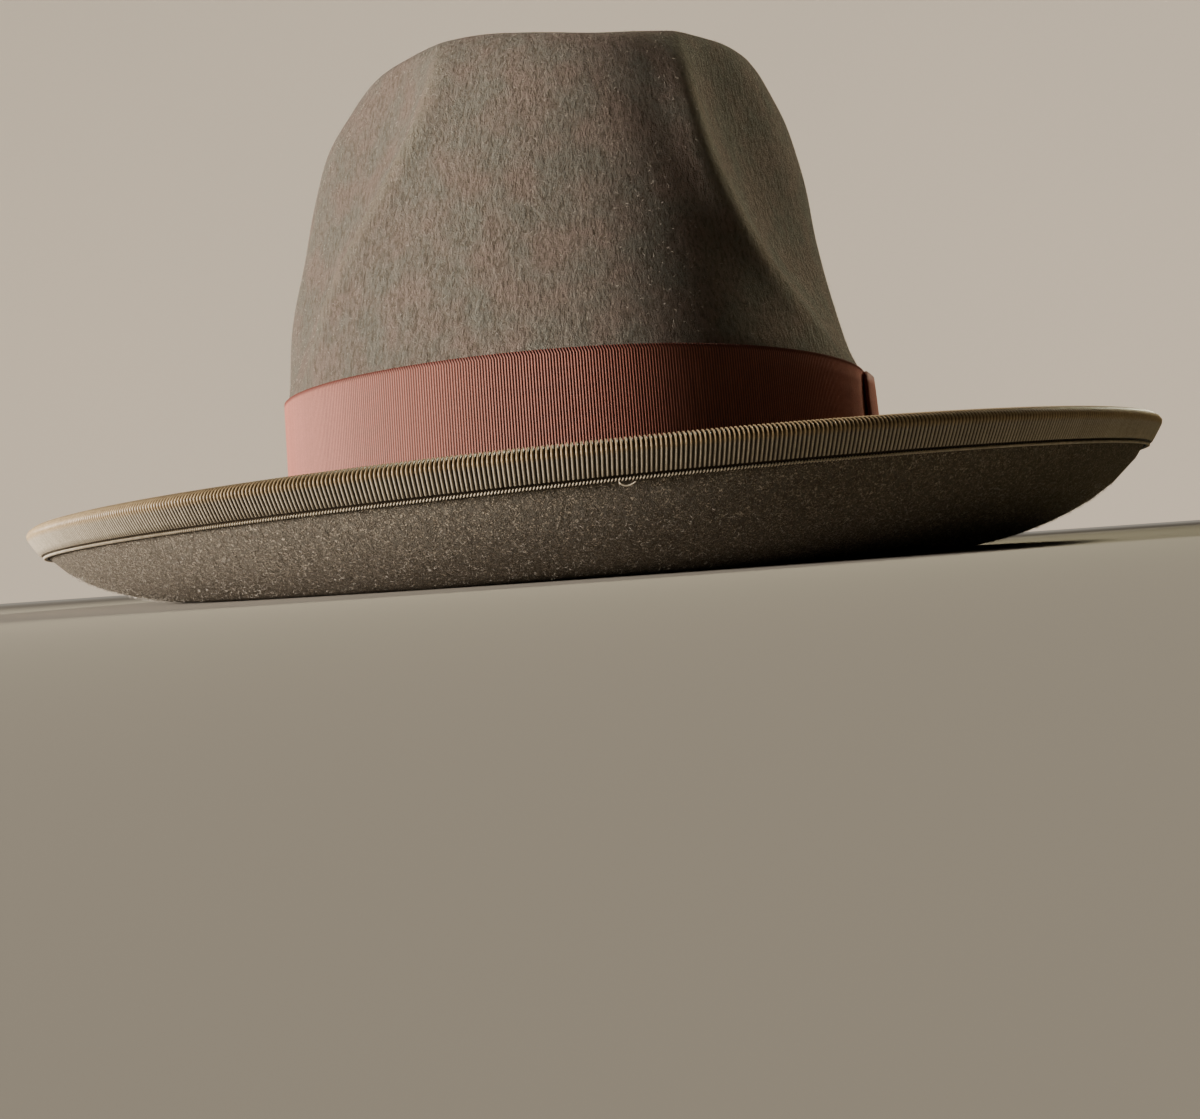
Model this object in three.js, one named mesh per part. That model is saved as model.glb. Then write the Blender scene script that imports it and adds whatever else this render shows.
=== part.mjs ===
// A felt fedora with a pinched crown, a brim turned up all round, a wide grosgrain binding
// on the brim's edge, and a grosgrain hatband with a flat bow on the wearer's left.
//
// Millimetres, +Z up. The front is towards -Y and the wearer's left towards +X. The origin
// is under the middle of the hat, in the plane that the lowest ring of the brim lies on.
//
// Every piece follows the felt's middle surface. A place on it is a turn and a station:
// the turn goes round from the front (0) by the wearer's left (90 degrees), and the
// station goes along the felt from the tip of the crown (0) out to the brim's edge (6).
// A lift is a distance off that surface, outwards and up on the outside of the felt.

import * as THREE from 'three';
import { mergeVertices } from 'three/addons/utils/BufferGeometryUtils.js';

// Head size, inside the sweatband
const headHalfWidth = 83.2;
const headHalfLength = 99.2;

// Thicknesses, and the gap that lies between neighbours
const feltWall = 2.0;
const ribbonWall = 1.0;
const leatherWall = 1.2;
const gap = 0.3;

// Crown
const crownRise = 91.0;
const pinchDepth = 12.0;
const pinchEnd = THREE.MathUtils.degToRad(90);
const ridgeBulge = 1.5;
const ridgeSpread = THREE.MathUtils.degToRad(5.5);
const creaseDepth = 27.0;
const creaseHalfWidth = 23.5;
const creaseShift = 8.0;

// Brim: how far its edge lies from the origin, how high the edge stands over the lowest
// ring, how much higher on the left and lower on the right, and how wide the turned-up
// roll is outside that ring
const brimHalfWidth = 160.2;
const brimHalfLength = 176.8;
const crownShiftLeft = -3.2;
const edgeHeight = 25.0;
const edgeTilt = 5.2;
const rollWidth = 43.0;
const rollExtraLeft = 20.0;
const ringWidth = 8.0;
const breakHeight = 6.0;
const breakDipLeft = 3.0;
const breakRadius = 5.0;

// Ribbons and sweatband
const bandWidth = 43.5;
const bandMargin = 1.0;
const bindingUnder = 7.0;
const bindingOver = 8.5;
const sweatWidth = 48.0;
const sweatStart = 0.5;

// Bow on the wearer's left
const bowHalfLength = 44.0;
const bowWall = 3.4;
const knotHalfLength = 7.0;
const knotWall = 1.4;

// Steps round the hat, along the bow and along its knot
const turnSteps = 72;
const bowSteps = 14;
const knotSteps = 4;

// The crown above the band, from the tip down to the band's top edge.
// rise is a share of crownRise. right, left, front and back are shares of the crown's half
// width and half length at the brim. pinch and crease are shares of their depths, and the two
// ridges are the turns, in degrees, of the pinch's front edge on each side of the head.
const crownRows = [
  { rise: 1.000, right: 0.000, left: 0.000, front: 0.000, back: 0.000, pinch: 0.00, ridgeRight: 35.0, ridgeLeft: 30.0, crease: 1.00 },
  { rise: 1.000, right: 0.170, left: 0.185, front: 0.160, back: 0.170, pinch: 0.00, ridgeRight: 35.0, ridgeLeft: 30.0, crease: 1.00 },
  { rise: 1.000, right: 0.335, left: 0.350, front: 0.320, back: 0.340, pinch: 0.00, ridgeRight: 35.0, ridgeLeft: 30.0, crease: 0.94 },
  { rise: 1.000, right: 0.480, left: 0.505, front: 0.455, back: 0.490, pinch: 0.00, ridgeRight: 35.0, ridgeLeft: 30.0, crease: 0.70 },
  { rise: 1.004, right: 0.605, left: 0.668, front: 0.570, back: 0.610, pinch: 0.05, ridgeRight: 35.0, ridgeLeft: 30.0, crease: 0.26 },
  { rise: 0.978, right: 0.672, left: 0.712, front: 0.655, back: 0.700, pinch: 0.20, ridgeRight: 34.0, ridgeLeft: 30.0, crease: 0.13 },
  { rise: 0.911, right: 0.738, left: 0.762, front: 0.708, back: 0.755, pinch: 0.55, ridgeRight: 31.5, ridgeLeft: 27.5, crease: 0.00 },
  { rise: 0.816, right: 0.807, left: 0.812, front: 0.750, back: 0.795, pinch: 0.92, ridgeRight: 30.5, ridgeLeft: 26.0, crease: 0.00 },
  { rise: 0.665, right: 0.860, left: 0.855, front: 0.793, back: 0.835, pinch: 1.12, ridgeRight: 34.0, ridgeLeft: 26.0, crease: 0.00 },
  { rise: 0.464, right: 0.912, left: 0.884, front: 0.842, back: 0.875, pinch: 1.02, ridgeRight: 43.0, ridgeLeft: 29.5, crease: 0.00 },
  { rise: 0.245, right: 0.974, left: 0.932, front: 0.897, back: 0.920, pinch: 0.74, ridgeRight: 53.0, ridgeLeft: 37.5, crease: 0.00 },
  { rise: 0.000, right: 0.994, left: 0.985, front: 0.957, back: 0.966, pinch: 0.00, ridgeRight: 63.0, ridgeLeft: 54.0, crease: 0.00 },
];

// The bow from its front end to its back end. along is a share of its half length, tall a
// share of the band's width and puff a share of the bow's thickness.
const bowRows = [
  { along: -1.00, tall: 0.86, puff: 0.45 },
  { along: -0.93, tall: 0.90, puff: 0.85 },
  { along: -0.60, tall: 0.92, puff: 1.00 },
  { along: -0.30, tall: 0.82, puff: 0.80 },
  { along: 0.00, tall: 0.62, puff: 0.50 },
  { along: 0.30, tall: 0.82, puff: 0.80 },
  { along: 0.60, tall: 0.92, puff: 1.00 },
  { along: 0.93, tall: 0.90, puff: 0.85 },
  { along: 1.00, tall: 0.86, puff: 0.45 },
];

// Levels of the felt's middle surface, worked up from the ring that the hat rests on
const crownHalfWidth = headHalfWidth + leatherWall + gap + feltWall / 2;
const crownHalfLength = headHalfLength + leatherWall + gap + feltWall / 2;
const ringLevel = feltWall / 2;
const bandZone = bandWidth + bandMargin;
const crownTop = ringLevel + breakHeight + breakRadius + bandZone + crownRise;

// Stations where the felt passes from one zone to the next
const bandTopStation = 1;
const wallFootStation = 2;
const slopeStation = 3;
const ringStation = 4;
const rollStation = 5;
const edgeStation = 6;

// Smooth value of one column at a place counted in rows
function columnAt(rows, column, place) {
  const last = rows.length - 1;
  const index = Math.min(Math.max(Math.floor(place), 0), last - 1);
  const t = place - index;
  const here = rows[index][column];
  const next = rows[index + 1][column];
  const before = index > 0 ? rows[index - 1][column] : here;
  const after = index + 2 <= last ? rows[index + 2][column] : next;
  const slopeHere = (next - before) / 2;
  const slopeNext = (after - here) / 2;
  const t2 = t * t;
  const t3 = t2 * t;
  return (2 * t3 - 3 * t2 + 1) * here + (t3 - 2 * t2 + t) * slopeHere
    + (3 * t2 - 2 * t3) * next + (t3 - t2) * slopeNext;
}

// A point of an oval whose four half axes may differ
function ovalPoint(turn, left, right, front, back) {
  const aside = Math.sin(turn) > 0 ? left : right;
  const reach = Math.cos(turn) > 0 ? front : back;
  return new THREE.Vector2(aside * Math.sin(turn), -reach * Math.cos(turn));
}

function crownBase(turn) {
  const point = ovalPoint(turn, crownHalfWidth, crownHalfWidth, crownHalfLength, crownHalfLength);
  point.x += crownShiftLeft;
  return point;
}

function brimEdge(turn) {
  return ovalPoint(turn, brimHalfWidth, brimHalfWidth, brimHalfLength, brimHalfLength);
}

// How far the two front pinches draw the wall in at a turn: a quick fall behind the
// ridge, a slow return to the side, and a slight bulge along the ridge itself
function pinchInset(turn, row) {
  const around = Math.atan2(Math.sin(turn), Math.cos(turn));
  const ridge = THREE.MathUtils.degToRad(around > 0 ? row.ridgeLeft : row.ridgeRight);
  const behind = (Math.abs(around) - ridge) / (pinchEnd - ridge);
  const bulge = ridgeBulge * Math.exp(-(((Math.abs(around) - ridge) / ridgeSpread) ** 2));
  const hollow = behind > 0 && behind < 1 ? 5.9 * behind ** 1.08 * (1 - behind) ** 2 : 0;
  return row.pinch * (pinchDepth * hollow - bulge);
}

// The height of the crown's foot, which dips on the wearer's left
function breakLevelAt(turn) {
  return ringLevel + breakHeight - breakDipLeft * Math.max(Math.sin(turn), 0) ** 2;
}

function bandTopAt(turn) {
  return breakLevelAt(turn) + breakRadius + bandZone;
}

function crownPoint(turn, station) {
  const place = station * (crownRows.length - 1);
  const row = {};
  for (const column of Object.keys(crownRows[0])) {
    row[column] = columnAt(crownRows, column, place);
  }
  const point = ovalPoint(
    turn,
    crownHalfWidth * row.left,
    crownHalfWidth * row.right,
    crownHalfLength * row.front,
    crownHalfLength * row.back,
  );
  const reach = Math.max(point.length(), 1);
  point.multiplyScalar(1 - pinchInset(turn, row) / reach);
  const across = Math.abs(point.x - creaseShift * Math.cos(turn) * row.front) / creaseHalfWidth;
  const sink = creaseDepth * row.crease * Math.exp(-(across ** 1.8));
  const level = THREE.MathUtils.lerp(bandTopAt(turn), crownTop, row.rise);
  return new THREE.Vector3(point.x + crownShiftLeft, point.y, level - sink);
}

function bandPoint(turn, share) {
  const top = crownPoint(turn, bandTopStation);
  const foot = crownBase(turn);
  const bow = share ** 0.8;
  return new THREE.Vector3(
    THREE.MathUtils.lerp(top.x, foot.x, bow),
    THREE.MathUtils.lerp(top.y, foot.y, bow),
    bandTopAt(turn) - bandZone * share,
  );
}

// The width of the roll grows on the wearer's left, where the brim turns up from close
// beside the crown
function rollWidthAt(turn) {
  return rollWidth + rollExtraLeft * Math.max(Math.sin(turn), 0) ** 2;
}

function edgeHeightAt(turn) {
  return edgeHeight + edgeTilt * Math.sin(turn);
}

// A point of the brim, a distance out from the crown's foot along the line to the edge
function brimPoint(turn, out, level) {
  const foot = crownBase(turn);
  const way = brimEdge(turn).sub(foot);
  foot.addScaledVector(way, out / way.length());
  return new THREE.Vector3(foot.x, foot.y, level);
}

function feltPoint(turn, station) {
  if (station <= bandTopStation) return crownPoint(turn, station);
  if (station <= wallFootStation) return bandPoint(turn, station - bandTopStation);
  if (station <= slopeStation) {
    const bend = (station - wallFootStation) * Math.PI / 2;
    const out = breakRadius * (1 - Math.cos(bend));
    return brimPoint(turn, out, breakLevelAt(turn) + breakRadius * (1 - Math.sin(bend)));
  }
  const reach = brimEdge(turn).sub(crownBase(turn)).length();
  const ringOuter = reach - rollWidthAt(turn);
  const ringInner = ringOuter - ringWidth;
  if (station <= ringStation) {
    const share = station - slopeStation;
    const fall = THREE.MathUtils.smoothstep(share, 0, 1);
    const level = THREE.MathUtils.lerp(breakLevelAt(turn), ringLevel, fall);
    return brimPoint(turn, THREE.MathUtils.lerp(breakRadius, ringInner, share), level);
  }
  if (station <= rollStation) {
    return brimPoint(turn, ringInner + ringWidth * (station - ringStation), ringLevel);
  }
  const share = station - rollStation;
  const lift = 0.7 * share ** 2 + 0.3 * share ** 8;
  return brimPoint(turn, ringOuter + rollWidthAt(turn) * share, ringLevel + edgeHeightAt(turn) * lift);
}

function feltNormal(turn, station) {
  const step = 0.002;
  const place = Math.min(Math.max(station, step), edgeStation - step);
  const around = feltPoint(turn + step, place).sub(feltPoint(turn - step, place));
  const along = feltPoint(turn, place + step).sub(feltPoint(turn, place - step));
  return along.cross(around).normalize();
}

// A place off the felt: lifted from its middle, and pushed past its edge if asked
function offFelt(turn, station, lift, past = 0) {
  const point = feltPoint(turn, station).addScaledVector(feltNormal(turn, station), lift);
  if (past === 0) return point;
  const way = feltPoint(turn, station).sub(feltPoint(turn, station - 0.01)).normalize();
  return point.addScaledVector(way, past);
}

// The station that lies a length of felt in from the brim's edge
function stationInside(turn, inset) {
  const step = 0.002;
  let station = edgeStation;
  let walked = 0;
  while (walked < inset) {
    walked += feltPoint(turn, station).distanceTo(feltPoint(turn, station - step));
    station -= step;
  }
  return station;
}

function solidFrom(points, faces) {
  const geometry = new THREE.BufferGeometry();
  geometry.setAttribute('position', new THREE.Float32BufferAttribute(points.flatMap((p) => p.toArray()), 3));
  geometry.setIndex(faces.flat());
  const solid = mergeVertices(geometry, 1e-4);
  solid.computeVertexNormals();
  return solid;
}

// Two triangles between neighbouring points of two sections
function bridge(faces, a, b, c, d) {
  faces.push([a, b, c], [a, c, d]);
}

// A solid through closed sections of equally many points. A ring joins its last section
// to its first, and any other row of sections is closed by its two ends.
function loftSolid(sections, isRing) {
  const count = sections[0].length;
  const faces = [];
  const joins = isRing ? sections.length : sections.length - 1;
  for (let i = 0; i < joins; i += 1) {
    const here = i * count;
    const next = ((i + 1) % sections.length) * count;
    for (let j = 0; j < count; j += 1) {
      const k = (j + 1) % count;
      bridge(faces, here + j, here + k, next + k, next + j);
    }
  }
  if (!isRing) {
    const outline = sections.map((section) => THREE.ShapeUtils.triangulateShape(flatSection(section), []));
    const last = (sections.length - 1) * count;
    for (const [a, b, c] of outline[0]) faces.push([a, b, c]);
    for (const [a, b, c] of outline[sections.length - 1]) faces.push([last + a, last + c, last + b]);
  }
  return solidFrom(sections.flat(), faces);
}

// A section's outline in its own plane, run anticlockwise as it is seen from the front
function flatSection(section) {
  return section.map((point) => new THREE.Vector2(Math.hypot(point.x, point.y), point.z));
}

function ringSolid(sectionAt) {
  const sections = [];
  for (let i = 0; i < turnSteps; i += 1) {
    sections.push(sectionAt((i / turnSteps) * 2 * Math.PI));
  }
  return loftSolid(sections, true);
}

// Distances in from the edge at which the felt and the binding both have a row, so that
// their faces run side by side
const boundInsets = [bindingOver, bindingUnder, Math.min(bindingOver, bindingUnder) / 2]
  .sort((a, b) => b - a)
  .filter((inset, i, all) => i === 0 || inset < all[i - 1]);

// Stations of the felt's rows, from just outside the tip to the edge
function feltStations(turn) {
  const crown = crownRows.slice(1).map((row, i) => (i + 1) / (crownRows.length - 1));
  const wall = [1.5, 2];
  const brim = [2.5, 3, 3.5, ringStation + 0.02, rollStation - 0.02];
  const roll = [0.3, 0.52, 0.7].map((share) => rollStation + share);
  const bound = boundInsets.map((inset) => stationInside(turn, inset));
  return [...crown, ...wall, ...brim, ...roll, ...bound, edgeStation];
}

// The felt, one piece from the tip to the edge, with an outer and an inner face
function feltSolid() {
  const points = [];
  const faces = [];
  const columns = [];
  for (let i = 0; i < turnSteps; i += 1) {
    const turn = (i / turnSteps) * 2 * Math.PI;
    const stations = feltStations(turn);
    const outer = stations.map((station) => offFelt(turn, station, feltWall / 2));
    const inner = stations.map((station) => offFelt(turn, station, -feltWall / 2)).reverse();
    columns.push(points.length);
    points.push(...outer, ...inner);
  }
  const rows = points.length / turnSteps;
  const tip = feltPoint(0, 0);
  const outerTip = points.push(tip.clone().setZ(tip.z + feltWall / 2)) - 1;
  const innerTip = points.push(tip.clone().setZ(tip.z - feltWall / 2)) - 1;
  for (let i = 0; i < turnSteps; i += 1) {
    const here = columns[i];
    const next = columns[(i + 1) % turnSteps];
    faces.push([outerTip, here, next]);
    for (let j = 0; j < rows - 1; j += 1) {
      bridge(faces, here + j, here + j + 1, next + j + 1, next + j);
    }
    faces.push([innerTip, next + rows - 1, here + rows - 1]);
  }
  return solidFrom(points, faces);
}

// The binding, folded over the brim's edge: out along the top, round and back below
function bindingSection(turn) {
  const near = feltWall / 2 + gap;
  const far = near + ribbonWall;
  const rows = (width, lift) => boundInsets
    .filter((inset) => inset <= width)
    .map((inset) => offFelt(turn, stationInside(turn, inset), lift));
  return [
    ...rows(bindingOver, far),
    offFelt(turn, edgeStation, far, gap),
    offFelt(turn, edgeStation, far / 2, gap + ribbonWall),
    offFelt(turn, edgeStation, -far / 2, gap + ribbonWall),
    offFelt(turn, edgeStation, -far, gap),
    ...rows(bindingUnder, -far).reverse(),
    ...rows(bindingUnder, -near),
    offFelt(turn, edgeStation, -near, gap),
    offFelt(turn, edgeStation, near, gap),
    ...rows(bindingOver, near).reverse(),
  ];
}

// Station of a height over the foot of the hatband, within the crown's straight wall
function bandStation(height) {
  return wallFootStation - height / bandZone;
}

// A closed upright strip beside the felt, through stations from the top one down
function stripSection(turn, stations, near, far) {
  const outside = stations.map((station) => offFelt(turn, station, far));
  const inside = stations.map((station) => offFelt(turn, station, near)).reverse();
  return [...outside, ...inside];
}

function hatbandSection(turn) {
  const near = feltWall / 2 + gap;
  const stations = [bandWidth, bandWidth / 2, 0].map(bandStation);
  return stripSection(turn, stations, near, near + ribbonWall);
}

function sweatbandSection(turn) {
  const near = -feltWall / 2 - gap - leatherWall;
  const top = sweatStart + sweatWidth;
  const levels = [Math.min(top, bandZone), (sweatStart + top) / 2, sweatStart];
  const section = stripSection(turn, levels.map(bandStation), near, -feltWall / 2 - gap);
  return section;
}

// The bow lies on the hatband's outside, as far along it as its own arc length
function bowTurn(along) {
  return Math.PI / 2 + along / crownHalfLength;
}

const bowFloor = feltWall / 2 + gap + ribbonWall + gap;

function bowRowAt(share) {
  const last = bowRows.length - 1;
  let index = 0;
  while (index < last - 1 && bowRows[index + 1].along < share) index += 1;
  const here = bowRows[index];
  const next = bowRows[index + 1];
  const t = (share - here.along) / (next.along - here.along);
  return {
    halfTall: bandWidth / 2 * THREE.MathUtils.lerp(here.tall, next.tall, t),
    puff: bowWall * THREE.MathUtils.lerp(here.puff, next.puff, t),
  };
}

function bowSection(share) {
  const turn = bowTurn(share * bowHalfLength);
  const { halfTall, puff } = bowRowAt(share);
  const middle = bandWidth / 2;
  const at = (height, lift) => offFelt(turn, bandStation(middle + height), bowFloor + lift);
  return [
    at(halfTall, 0),
    at(halfTall, puff * 0.7),
    at(halfTall * 0.7, puff),
    at(-halfTall * 0.7, puff),
    at(-halfTall, puff * 0.7),
    at(-halfTall, 0),
    at(0, 0),
  ];
}

function bowSolid() {
  const shares = new Set(bowRows.map((row) => row.along));
  for (let i = 0; i <= bowSteps; i += 1) shares.add((2 * i) / bowSteps - 1);
  const ordered = [...shares].sort((a, b) => a - b);
  const spaced = ordered.filter((share, i) => i === 0 || share - ordered[i - 1] > 0.02);
  return loftSolid(spaced.map(bowSection), false);
}

// The knot is a strip wrapped over the bow's waist and tucked in above and below it
function knotSection(along) {
  const turn = bowTurn(along);
  const edge = bowRowAt(knotHalfLength / bowHalfLength);
  const tallIn = edge.halfTall + gap;
  const tallOut = tallIn + knotWall;
  const liftIn = edge.puff + gap;
  const liftOut = liftIn + knotWall;
  const middle = bandWidth / 2;
  const at = (height, lift) => offFelt(turn, bandStation(middle + height), bowFloor + lift);
  return [
    at(tallOut, 0),
    at(tallOut, liftOut * 0.7),
    at(tallOut * 0.85, liftOut),
    at(-tallOut * 0.85, liftOut),
    at(-tallOut, liftOut * 0.7),
    at(-tallOut, 0),
    at(-tallIn, 0),
    at(-tallIn, liftIn),
    at(tallIn, liftIn),
    at(tallIn, 0),
  ];
}

function knotSolid() {
  const sections = [];
  for (let i = 0; i <= knotSteps; i += 1) {
    sections.push(knotSection(knotHalfLength * ((2 * i) / knotSteps - 1)));
  }
  return loftSolid(sections, false);
}

const felt = new THREE.MeshStandardMaterial({ color: 0x6e6656, roughness: 0.96, metalness: 0 });
const roseRibbon = new THREE.MeshStandardMaterial({ color: 0xa4655c, roughness: 0.7, metalness: 0 });
const tanRibbon = new THREE.MeshStandardMaterial({ color: 0x857860, roughness: 0.75, metalness: 0 });
const leather = new THREE.MeshStandardMaterial({ color: 0x7c5233, roughness: 0.55, metalness: 0 });

function namedMesh(name, geometry, material) {
  const mesh = new THREE.Mesh(geometry, material);
  mesh.name = name;
  return mesh;
}

const fedora = new THREE.Group();
fedora.add(
  namedMesh('crown_and_brim', feltSolid(), felt),
  namedMesh('brim_binding', ringSolid(bindingSection), tanRibbon),
  namedMesh('hatband', ringSolid(hatbandSection), roseRibbon),
  namedMesh('bow', bowSolid(), roseRibbon),
  namedMesh('bow_knot', knotSolid(), roseRibbon),
  namedMesh('sweatband', ringSolid(sweatbandSection), leather),
);

export default fedora;
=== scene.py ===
import math

import bmesh
import bpy
import numpy as np
from mathutils import Matrix, Vector, noise


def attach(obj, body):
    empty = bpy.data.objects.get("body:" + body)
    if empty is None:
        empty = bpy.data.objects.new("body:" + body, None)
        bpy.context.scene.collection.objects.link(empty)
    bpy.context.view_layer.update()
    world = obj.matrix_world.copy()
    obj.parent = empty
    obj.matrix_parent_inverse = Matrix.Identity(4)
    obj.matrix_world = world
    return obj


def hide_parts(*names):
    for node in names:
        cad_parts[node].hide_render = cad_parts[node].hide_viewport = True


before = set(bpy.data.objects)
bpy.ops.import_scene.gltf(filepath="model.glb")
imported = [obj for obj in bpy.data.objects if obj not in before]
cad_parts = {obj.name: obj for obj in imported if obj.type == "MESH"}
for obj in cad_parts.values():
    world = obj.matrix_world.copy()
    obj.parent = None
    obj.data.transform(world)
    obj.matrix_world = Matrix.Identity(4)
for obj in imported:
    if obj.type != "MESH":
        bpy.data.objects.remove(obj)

# A felt fedora is made here as a hatter makes one. Each piece starts as a blank, a plain
# section spun round the z axis or a plain strip, and is then blocked: every point of the
# blank moves to its place on the felt or off it. In a spun blank the way round the z axis is
# the turn, which goes from the front (0) by the wearer's left (a quarter), the way out from
# the axis is the station along the felt or a distance across a ribbon, and the height is
# the lift off the middle of the felt. Sizes are millimetres until a mesh is finished.

MM = 0.001
FULL_TURN = 2 * math.pi
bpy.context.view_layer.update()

# Head size, walls and the gap between neighbours
HEAD_HALF_WIDTH = 83.2
HEAD_HALF_LENGTH = 99.2
FELT_WALL = 2.0
RIBBON_WALL = 1.0
LEATHER_WALL = 1.2
GAP = 0.3

# Crown
CROWN_RISE = 91.0
PINCH_DEPTH = 12.0
PINCH_END = math.radians(90)
HOLLOW_GAIN = 5.9
HOLLOW_POWER = 1.08
RIDGE_BULGE = 1.5
RIDGE_SPREAD = math.radians(5.5)
# A lighter line along the front edges of the pinches: a painted highlight, with some wear
RIDGE_HIGHLIGHT_AND_WEAR = 0.34
RIDGE_HIGHLIGHT_SPREAD = math.radians(2.4)
CREASE_DEPTH = 27.0
CREASE_HALF_WIDTH = 23.5
CREASE_SHIFT = 8.0
CREASE_POWER = 1.8
WALL_POWER = 0.8

# Brim
BRIM_HALF_WIDTH = 160.2
BRIM_HALF_LENGTH = 176.8
CROWN_SHIFT_LEFT = -3.2
EDGE_HEIGHT = 25.0
EDGE_TILT = 5.2
EARLY_ROLL = 0.7
LATE_ROLL = 0.3
ROLL_WIDTH = 43.0
ROLL_EXTRA_LEFT = 20.0
RING_WIDTH = 8.0
BREAK_HEIGHT = 6.0
BREAK_DIP_LEFT = 3.0
BREAK_RADIUS = 5.0

# The felt isn't quite even: the size and height of its slow waves, and the seed of each
WAVES = ((38, 0.55, 3), (16, 0.22, 7))
BRIM_WAVE_SHARE = 0.6

# Ribbons, sweatband and bow
BAND_WIDTH = 43.5
BAND_MARGIN = 1.0
BINDING_UNDER = 7.0
BINDING_OVER = 8.5
SWEAT_WIDTH = 48.0
SWEAT_START = 0.5
BOW_HALF_LENGTH = 44.0
BOW_WALL = 3.4
# How far the bow's front end is painted dark as shade from the crown
BOW_SHADED_END = 2.4
KNOT_HALF_LENGTH = 7.0
KNOT_WALL = 1.4
KNOT_BEND = 1.6
BOW_LAYER = 0.55

# The weave: the distance from rib to rib, the depth of the grooves, the roundness of the
# binding's cords, the width of a selvedge and the distance from stitch to stitch
BAND_RIB = 0.8
RIB_DEPTH = 0.36
BINDING_DEPTH = 0.66
CORD_ROUNDNESS = 0.6
SELVEDGE = 1.2
STITCH_PITCH = 0.75

# The crown above the band, from the tip down. rise is a share of the crown's rise, the next
# four are shares of its half width and half length, pinch and crease are shares of their
# depths, and the ridges are the turns, in degrees, of the front edges of the two pinches.
CROWN_COLUMNS = (
    "rise", "right", "left", "front", "back", "pinch", "ridge_right", "ridge_left", "crease",
)
CROWN_ROWS = np.array([
    (1.000, 0.000, 0.000, 0.000, 0.000, 0.00, 35.0, 30.0, 1.00),
    (1.000, 0.170, 0.185, 0.160, 0.170, 0.00, 35.0, 30.0, 1.00),
    (1.000, 0.335, 0.350, 0.320, 0.340, 0.00, 35.0, 30.0, 0.94),
    (1.000, 0.480, 0.505, 0.455, 0.490, 0.00, 35.0, 30.0, 0.70),
    (1.004, 0.605, 0.668, 0.570, 0.610, 0.05, 35.0, 30.0, 0.26),
    (0.978, 0.672, 0.712, 0.655, 0.700, 0.20, 34.0, 30.0, 0.13),
    (0.911, 0.738, 0.762, 0.708, 0.755, 0.55, 31.5, 27.5, 0.00),
    (0.816, 0.807, 0.812, 0.750, 0.795, 0.92, 30.5, 26.0, 0.00),
    (0.665, 0.860, 0.855, 0.793, 0.835, 1.12, 34.0, 26.0, 0.00),
    (0.464, 0.912, 0.884, 0.842, 0.875, 1.02, 43.0, 29.5, 0.00),
    (0.245, 0.974, 0.932, 0.897, 0.920, 0.74, 53.0, 37.5, 0.00),
    (0.000, 0.994, 0.985, 0.957, 0.966, 0.00, 63.0, 54.0, 0.00),
])

# The bow from its front end to its back: along is a share of its half length, tall a share of
# the band's width and puff a share of the bow's thickness. The top of the front end has only
# a part of its puff.
BOW_ALONG = (-1.00, -0.93, -0.60, -0.30, 0.00, 0.30, 0.60, 0.93, 1.00)
BOW_TALL = (0.94, 0.96, 0.94, 0.82, 0.62, 0.82, 0.92, 0.90, 0.86)
BOW_PUFF = (0.62, 0.80, 0.95, 0.80, 0.50, 0.80, 1.00, 0.85, 0.60)
BOW_TOP_PUFF = 0.25

# Stations where the felt passes from one zone to the next. The flat ring starts at 4.
BAND_TOP, WALL_FOOT, SLOPE_START, ROLL_START, EDGE = 1, 2, 3, 5, 6

# Zones of the felt, between two stations, where loose fibres stand
FIBRES_ABOVE = ((0.1, 0.99), (2.9, 5.75))
FIBRES_BELOW = ((2.2, 3.6), (5.25, 5.8))

CROWN_HALF_WIDTH = HEAD_HALF_WIDTH + LEATHER_WALL + GAP + FELT_WALL / 2
CROWN_HALF_LENGTH = HEAD_HALF_LENGTH + LEATHER_WALL + GAP + FELT_WALL / 2
RING_LEVEL = FELT_WALL / 2
RIBBON_NEAR = FELT_WALL / 2 + GAP
RIBBON_FAR = RIBBON_NEAR + RIBBON_WALL
BOW_FLOOR = RIBBON_FAR + GAP
BAND_ZONE = BAND_WIDTH + BAND_MARGIN
CROWN_TOP = RING_LEVEL + BREAK_HEIGHT + BREAK_RADIUS + BAND_ZONE + CROWN_RISE

# Rows of a spun blank: where the felt's edge lies, and where the foot of the band lies
BLANK_EDGE = 20.0
BLANK_FOOT = 10.0


# The felt's middle surface


def lerp(start, end, share):
    return start + (end - start) * share


def smooth(share):
    share = np.clip(share, 0, 1)
    return share * share * (3 - 2 * share)


def leftness(turn):
    """1 on the wearer's left, and 0 from the front round by the right to the back."""
    return np.maximum(np.sin(turn), 0) ** 2


def crown_row(station):
    """The table's columns at a station from 0 to 1, with smooth values between its rows."""
    last = len(CROWN_ROWS) - 1
    place = station * last
    index = np.clip(np.floor(place).astype(int), 0, last - 1)
    here, after = CROWN_ROWS[index], CROWN_ROWS[index + 1]
    slope_here = (after - CROWN_ROWS[np.maximum(index - 1, 0)]) / 2
    slope_after = (CROWN_ROWS[np.minimum(index + 2, last)] - here) / 2
    t = (place - index)[:, None]
    values = (
        (2 * t ** 3 - 3 * t ** 2 + 1) * here
        + (t ** 3 - 2 * t ** 2 + t) * slope_here
        + (3 * t ** 2 - 2 * t ** 3) * after
        + (t ** 3 - t ** 2) * slope_after
    )
    return dict(zip(CROWN_COLUMNS, values.T))


def oval(turn, left, right, front, back):
    """A point of an oval whose four half axes may differ."""
    aside = np.where(np.sin(turn) > 0, left, right)
    reach = np.where(np.cos(turn) > 0, front, back)
    return np.stack([aside * np.sin(turn), -reach * np.cos(turn)], axis=-1)


def crown_base(turn):
    base = oval(turn, CROWN_HALF_WIDTH, CROWN_HALF_WIDTH, CROWN_HALF_LENGTH, CROWN_HALF_LENGTH)
    return base + (CROWN_SHIFT_LEFT, 0)


def brim_edge(turn):
    return oval(turn, BRIM_HALF_WIDTH, BRIM_HALF_WIDTH, BRIM_HALF_LENGTH, BRIM_HALF_LENGTH)


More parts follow.
